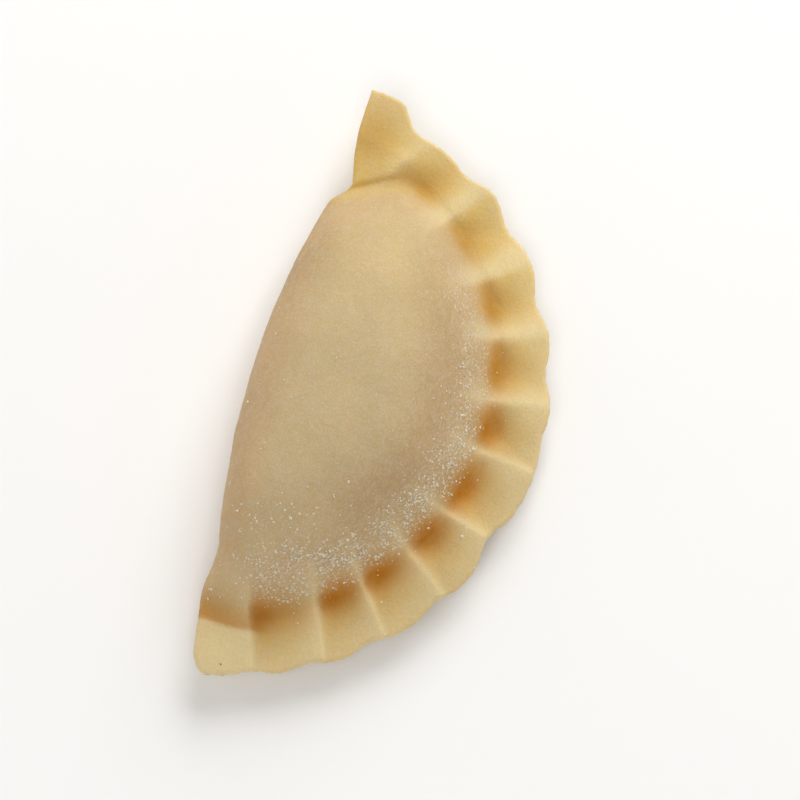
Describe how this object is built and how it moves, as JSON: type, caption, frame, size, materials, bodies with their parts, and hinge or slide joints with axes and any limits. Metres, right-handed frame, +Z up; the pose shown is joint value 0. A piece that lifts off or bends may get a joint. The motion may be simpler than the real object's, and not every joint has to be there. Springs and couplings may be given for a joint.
{
  "type": "raw pierogi dumpling",
  "caption": "Raw half-moon pierogi: folded round of dough over a filling, with a crimped rim, one pointed and one blunt horn, lying on its side.",
  "frame": {"origin": "bottom centre of the dumpling's bounding box, on the surface it lies on", "axes": "+Z up, away from the surface; +X along the fold to the pointed horn; -Y out to the crimped rim"},
  "size_m": [0.0876, 0.0426, 0.0229],
  "materials": {
    "dough": "soft matt dough, dusted with flour"
  },
  "bodies": {
    "root": {"pierogi": "dough"}
  },
  "joints": []
}
